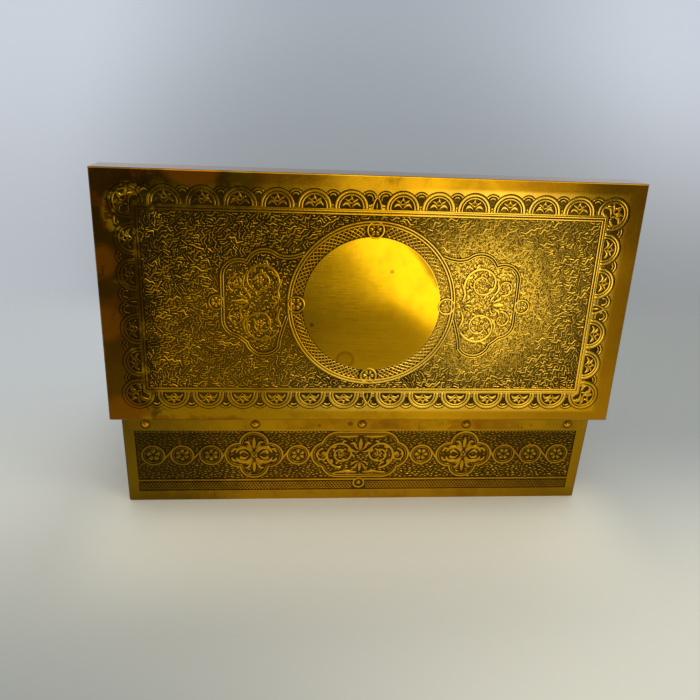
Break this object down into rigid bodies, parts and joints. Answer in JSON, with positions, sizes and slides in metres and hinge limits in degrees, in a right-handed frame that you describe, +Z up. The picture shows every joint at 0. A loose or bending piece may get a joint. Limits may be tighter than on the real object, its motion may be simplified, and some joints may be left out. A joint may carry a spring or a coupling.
{
  "type": "sweet box",
  "caption": "Low rectangular box of engraved brass sheet lined with cedar, with a hinged overlapping cover that stands open on its own stop.",
  "frame": {"origin": "middle of the underside of the base, on the surface that the box stands on", "axes": "+Z up, X along the box's width, the hinge on the +Y side and the opening side on -Y"},
  "size_m": [0.2, 0.1045, 0.1417],
  "materials": {
    "brass_engraved": "aged brass, engraved, dark patina in the sunk ground",
    "brass_sheet": "aged plain brass sheet, satin",
    "brass_pin": "dull brass wire",
    "brass_nails": "rubbed bright brass",
    "cedar": "oiled cedar board"
  },
  "bodies": {
    "box": {"base_plate": "brass_sheet", "body_front_wall": "brass_engraved", "body_back_wall": "brass_engraved", "body_left_wall": "brass_engraved", "body_right_wall": "brass_engraved", "lining_floor": "cedar", "lining_front": "cedar", "lining_back": "cedar", "lining_left": "cedar", "lining_right": "cedar", "hinge_body_leaf": "brass_sheet", "hinge_pin": "brass_pin", "hinge_body_nails": "brass_nails"},
    "cover": {"cover_top_plate": "brass_engraved", "cover_front_rim": "brass_sheet", "cover_back_rim": "brass_sheet", "cover_left_rim": "brass_sheet", "cover_right_rim": "brass_sheet", "cover_lining_board": "cedar", "cover_lining_front": "cedar", "cover_lining_back": "cedar", "cover_lining_left": "cedar", "cover_lining_right": "cedar", "hinge_cover_leaf": "brass_sheet", "hinge_cover_nails": "brass_nails"}
  },
  "joints": [
    {"name": "cover_hinge", "type": "hinge", "parent": "box", "child": "cover", "pos_m": [0, 0.0462, 0.0471], "axis": [1, 0, 0], "range_deg": [0, 85.8]}
  ]
}
